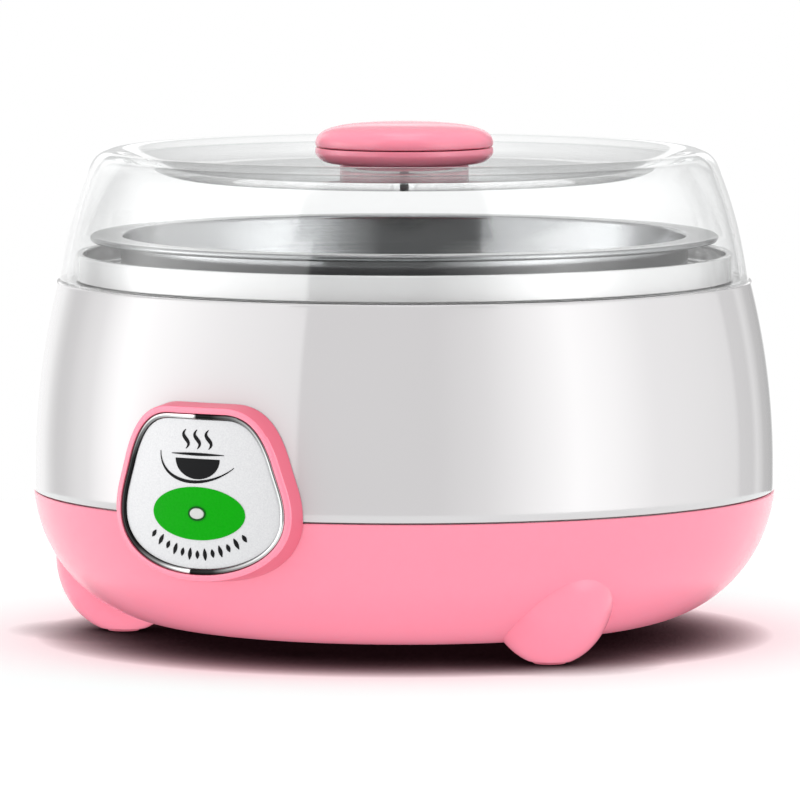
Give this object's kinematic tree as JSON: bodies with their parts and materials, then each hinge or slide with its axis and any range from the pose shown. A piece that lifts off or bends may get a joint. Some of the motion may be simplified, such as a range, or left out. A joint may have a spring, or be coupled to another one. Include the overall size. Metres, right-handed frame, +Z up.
{
  "type": "yogurt maker",
  "caption": "Round two-tone countertop yogurt maker on three rounded feet, with a lift-out steel pot, a clear domed lid with a knob, and a front badge with an indicator lamp.",
  "frame": {"origin": "on the housing's vertical axis, on the surface the foot pads stand on", "axes": "+Z up along the housing's axis, the badge and indicator lamp face -Y, the mains inlet faces +Y, +X to the right seen from the badge side"},
  "size_m": [0.19, 0.1988, 0.1316],
  "materials": {
    "pink_plastic": "glossy moulded",
    "white_plastic": "glossy moulded",
    "clear_plastic": "clear polished",
    "stainless_steel": "spun, satin",
    "chrome_trim": "bright",
    "silver_film": "printed film",
    "green_film": "printed film",
    "lens_plastic": "translucent",
    "led_epoxy": "translucent",
    "foot_rubber": "matt",
    "silicone": "satin",
    "bare_aluminium": "machined",
    "zinc_steel": "zinc plated",
    "brass_contact": "drawn",
    "black_plastic": "fine satin",
    "circuit_board": "solder mask",
    "resistor_body": "lacquered",
    "red_insulation": "PVC",
    "blue_insulation": "PVC"
  },
  "bodies": {
    "housing": {"base_shell": "pink_plastic", "upper_shell": "white_plastic", "inner_liner": "white_plastic", "foot_pad_1": "foot_rubber", "foot_pad_2": "foot_rubber", "foot_pad_3": "foot_rubber", "case_screw_1": "zinc_steel", "case_screw_2": "zinc_steel", "case_screw_3": "zinc_steel", "badge_bezel": "pink_plastic", "badge_ring": "chrome_trim", "badge_plate": "silver_film", "badge_oval": "green_film", "badge_screw_1": "zinc_steel", "badge_screw_2": "zinc_steel", "lamp_lens": "lens_plastic", "lamp_board": "circuit_board", "indicator_led": "led_epoxy", "lamp_resistor": "resistor_body", "heating_plate": "bare_aluminium", "plate_gasket": "silicone", "ptc_heater": "bare_aluminium", "heater_clamp": "zinc_steel", "clamp_screw_1": "zinc_steel", "clamp_screw_2": "zinc_steel", "thermal_fuse": "brass_contact", "fuse_clip": "zinc_steel", "fuse_clip_screw": "zinc_steel", "mains_inlet": "black_plastic", "inlet_pin_live": "brass_contact", "inlet_pin_neutral": "brass_contact", "crimp_cap_live": "black_plastic", "crimp_cap_neutral": "black_plastic", "inlet_lead_live": "red_insulation", "inlet_lead_neutral": "blue_insulation", "fuse_lead": "red_insulation", "heater_lead_live": "red_insulation", "heater_lead_neutral": "blue_insulation", "lamp_lead_live": "red_insulation", "lamp_lead_neutral": "blue_insulation"},
    "pot": {"inner_pot": "stainless_steel"},
    "lid": {"outer_lid": "clear_plastic", "knob_base": "pink_plastic", "knob_cap": "pink_plastic", "knob_washer": "silicone", "knob_screw": "zinc_steel"}
  },
  "joints": [
    {"name": "pot_lift", "type": "slide", "parent": "housing", "child": "pot", "axis": [0, 0, 1], "range_m": [0, 0.08]},
    {"name": "lid_lift", "type": "slide", "parent": "pot", "child": "lid", "axis": [0, 0, 1], "range_m": [0, 0.06]}
  ]
}
